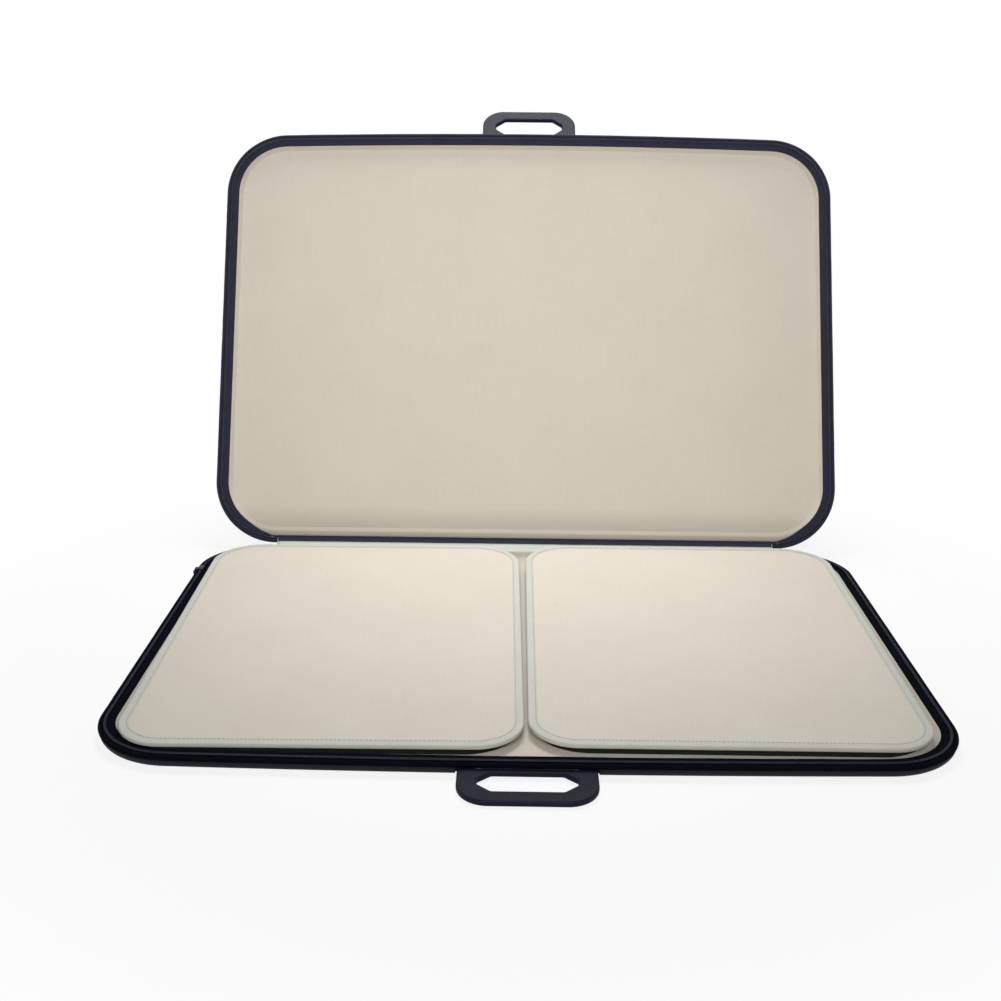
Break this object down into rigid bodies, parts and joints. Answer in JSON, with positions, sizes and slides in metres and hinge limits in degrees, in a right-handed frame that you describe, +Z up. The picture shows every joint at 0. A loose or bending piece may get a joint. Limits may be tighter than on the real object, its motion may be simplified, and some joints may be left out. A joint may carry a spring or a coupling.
{
  "type": "puzzle carrier",
  "caption": "Soft-sided zip-round puzzle case opened like a book, with a lined tray in each half, hinged carrying handles and loose bound sorting boards.",
  "frame": {"origin": "middle of the base half's flat underside", "axes": "+X along the hinge to the right, +Y from the carrying side towards the hinge, +Z up"},
  "size_m": [0.8036, 0.8789, 0.5408],
  "materials": {
    "cover_cloth": "matte",
    "greyboard": "matte",
    "pad_foam": "matte",
    "lining_cloth": "matte",
    "piping_cloth": "matte",
    "zipper_cloth": "matte",
    "coil_nylon": "satin",
    "trim_steel": "satin",
    "anchor_plastic": "matte",
    "handle_plastic": "satin",
    "hinge_cloth": "matte",
    "face_cloth": "matte",
    "binding_tape": "matte",
    "underlay_foam": "matte",
    "slider_metal": "satin"
  },
  "bodies": {
    "base": {"base_outer_panel": "cover_cloth", "base_side_gusset": "cover_cloth", "base_stiffener_board": "greyboard", "base_foam_pad": "pad_foam", "base_wall_core": "pad_foam", "base_lining": "lining_cloth", "base_piping": "piping_cloth", "base_zipper_tape": "zipper_cloth", "base_zipper_coil": "coil_nylon", "base_zipper_stops": "trim_steel", "base_handle_anchor": "anchor_plastic", "base_handle_pin": "trim_steel", "base_anchor_rivets": "trim_steel", "base_hinge_cloth": "hinge_cloth"},
    "lid": {"lid_outer_panel": "cover_cloth", "lid_side_gusset": "cover_cloth", "lid_stiffener_board": "greyboard", "lid_foam_pad": "pad_foam", "lid_wall_core": "pad_foam", "lid_lining": "lining_cloth", "lid_piping": "piping_cloth", "lid_zipper_tape": "zipper_cloth", "lid_zipper_coil": "coil_nylon", "lid_zipper_stops": "trim_steel", "lid_handle_anchor": "anchor_plastic", "lid_handle_pin": "trim_steel", "lid_anchor_rivets": "trim_steel", "lid_hinge_cloth": "hinge_cloth", "lid_rear_binding": "piping_cloth"},
    "base_grip": {"base_handle": "handle_plastic"},
    "lid_grip": {"lid_handle": "handle_plastic"},
    "slider": {"zipper_slider": "slider_metal"},
    "pull": {"zipper_pull": "slider_metal"},
    "left_board": {"left_board_core": "greyboard", "left_board_face": "face_cloth", "left_board_binding": "binding_tape", "left_board_underlay": "underlay_foam"},
    "right_board": {"right_board_core": "greyboard", "right_board_face": "face_cloth", "right_board_binding": "binding_tape", "right_board_underlay": "underlay_foam"}
  },
  "joints": [
    {"name": "lid_fold", "type": "hinge", "parent": "base", "child": "lid", "pos_m": [0, 0.275, 0.015], "axis": [-1, 0, 0], "range_deg": [-114.5, 65.5]},
    {"name": "base_handle_swing", "type": "hinge", "parent": "base", "child": "base_grip", "pos_m": [0, -0.268, 0.0045], "axis": [-1, 0, 0], "range_deg": [-26.15, 4.35]},
    {"name": "lid_handle_swing", "type": "hinge", "parent": "lid", "child": "lid_grip", "pos_m": [0, 0.50973, 0.50475], "axis": [1, 0, 0], "range_deg": [0, 30.5]},
    {"name": "zipper_slide", "type": "slide", "parent": "base", "child": "slider", "axis": [0, -1, 0], "range_m": [0, 0.36]},
    {"name": "zipper_pull_swing", "type": "hinge", "parent": "slider", "child": "pull", "pos_m": [-0.4012, 0.183, 0.0085], "axis": [1, 0, 0], "range_deg": [-78, 192]},
    {"name": "left_board_lift", "type": "slide", "parent": "base", "child": "left_board", "axis": [0, 0, 1], "range_m": [0, 0.12]},
    {"name": "right_board_lift", "type": "slide", "parent": "base", "child": "right_board", "axis": [0, 0, 1], "range_m": [0, 0.12]}
  ]
}
